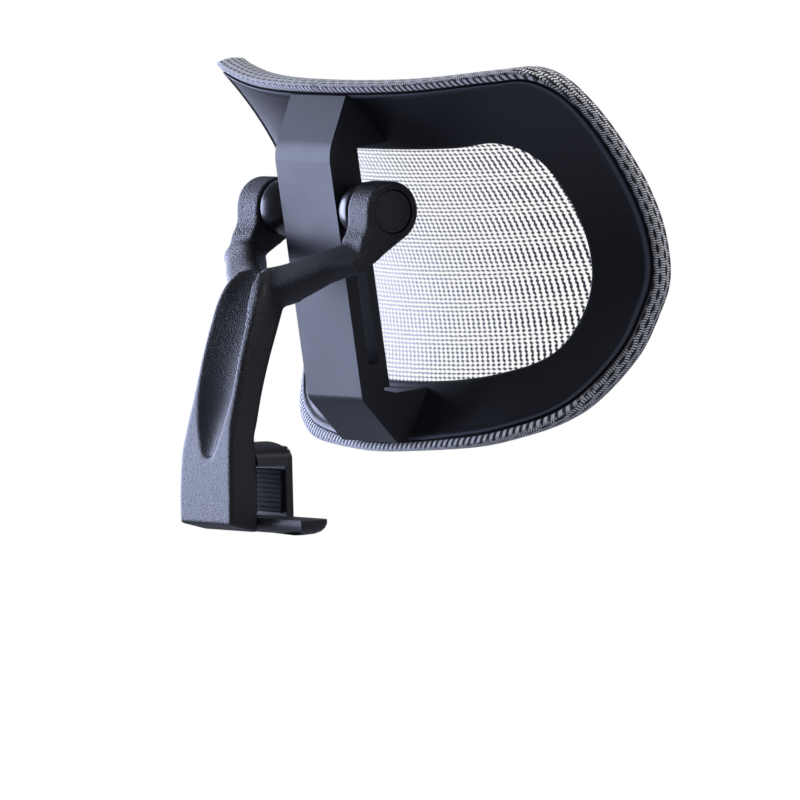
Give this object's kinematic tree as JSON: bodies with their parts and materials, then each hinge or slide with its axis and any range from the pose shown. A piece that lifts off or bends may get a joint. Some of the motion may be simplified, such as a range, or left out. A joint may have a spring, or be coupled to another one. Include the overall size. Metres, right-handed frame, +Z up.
{
  "type": "chair headrest attachment",
  "caption": "Curved mesh headrest on a saddle-shaped frame whose bar slides in height and tilts on a forked arm that clamps on a chair's top rail.",
  "frame": {"origin": "middle of the rear jaw pad's face, which bears on the back of the chair's rail", "axes": "+X to the sitter's left, -Y towards the sitter's head, +Z up"},
  "size_m": [0.273, 0.1574, 0.206],
  "materials": {
    "arm_nylon": "coarse grained black nylon",
    "shell_plastic": "satin black",
    "gloss_black": "polished black",
    "cap_plastic": "smooth black",
    "rubber": "matt",
    "slide_nylon": "low-friction nylon",
    "mesh_fabric": "open elastic knit, light grey",
    "brass": "turned",
    "steel": "zinc plated"
  },
  "bodies": {
    "arm": {"fork_arm": "arm_nylon", "rear_jaw_pad": "rubber", "clamp_insert_left": "brass", "clamp_insert_right": "brass", "pivot_bolt": "steel", "pivot_nut": "steel", "pivot_cap_left": "cap_plastic", "pivot_cap_right": "cap_plastic", "friction_washer_left": "steel", "friction_washer_right": "steel"},
    "clamp_jaw": {"clamp_bracket": "arm_nylon", "front_jaw_pad": "rubber", "clamp_screw_left": "steel", "clamp_screw_right": "steel"},
    "slider": {"slider_block": "cap_plastic", "slide_shoe_left": "slide_nylon", "slide_shoe_right": "slide_nylon", "dome_collar_left": "gloss_black", "dome_collar_right": "gloss_black", "detent_spring": "steel"},
    "detent": {"detent_plunger": "steel"},
    "headrest": {"rear_frame": "shell_plastic", "guide_plate": "cap_plastic", "plate_screw_top": "steel", "plate_screw_bottom": "steel", "front_frame": "shell_plastic", "frame_screw_1": "steel", "frame_screw_2": "steel", "frame_screw_3": "steel", "frame_screw_4": "steel", "mesh_cover": "mesh_fabric", "edge_strip": "slide_nylon"}
  },
  "joints": [
    {"name": "clamp_close", "type": "slide", "parent": "arm", "child": "clamp_jaw", "axis": [0, -1, 0], "range_m": [0, 0.004]},
    {"name": "tilt", "type": "hinge", "parent": "arm", "child": "slider", "pos_m": [0, -0.0499, 0.1234], "axis": [1, 0, 0], "range_deg": [-20, 22]},
    {"name": "detent_press", "type": "slide", "parent": "slider", "child": "detent", "axis": [0, 0.9877, -0.1564], "range_m": [0, 0.0015], "stiffness_N_per_m": 400, "springref_m": -0.001},
    {"name": "height", "type": "slide", "parent": "slider", "child": "headrest", "axis": [0, 0.1564, 0.9877], "range_m": [0, 0.06]}
  ]
}
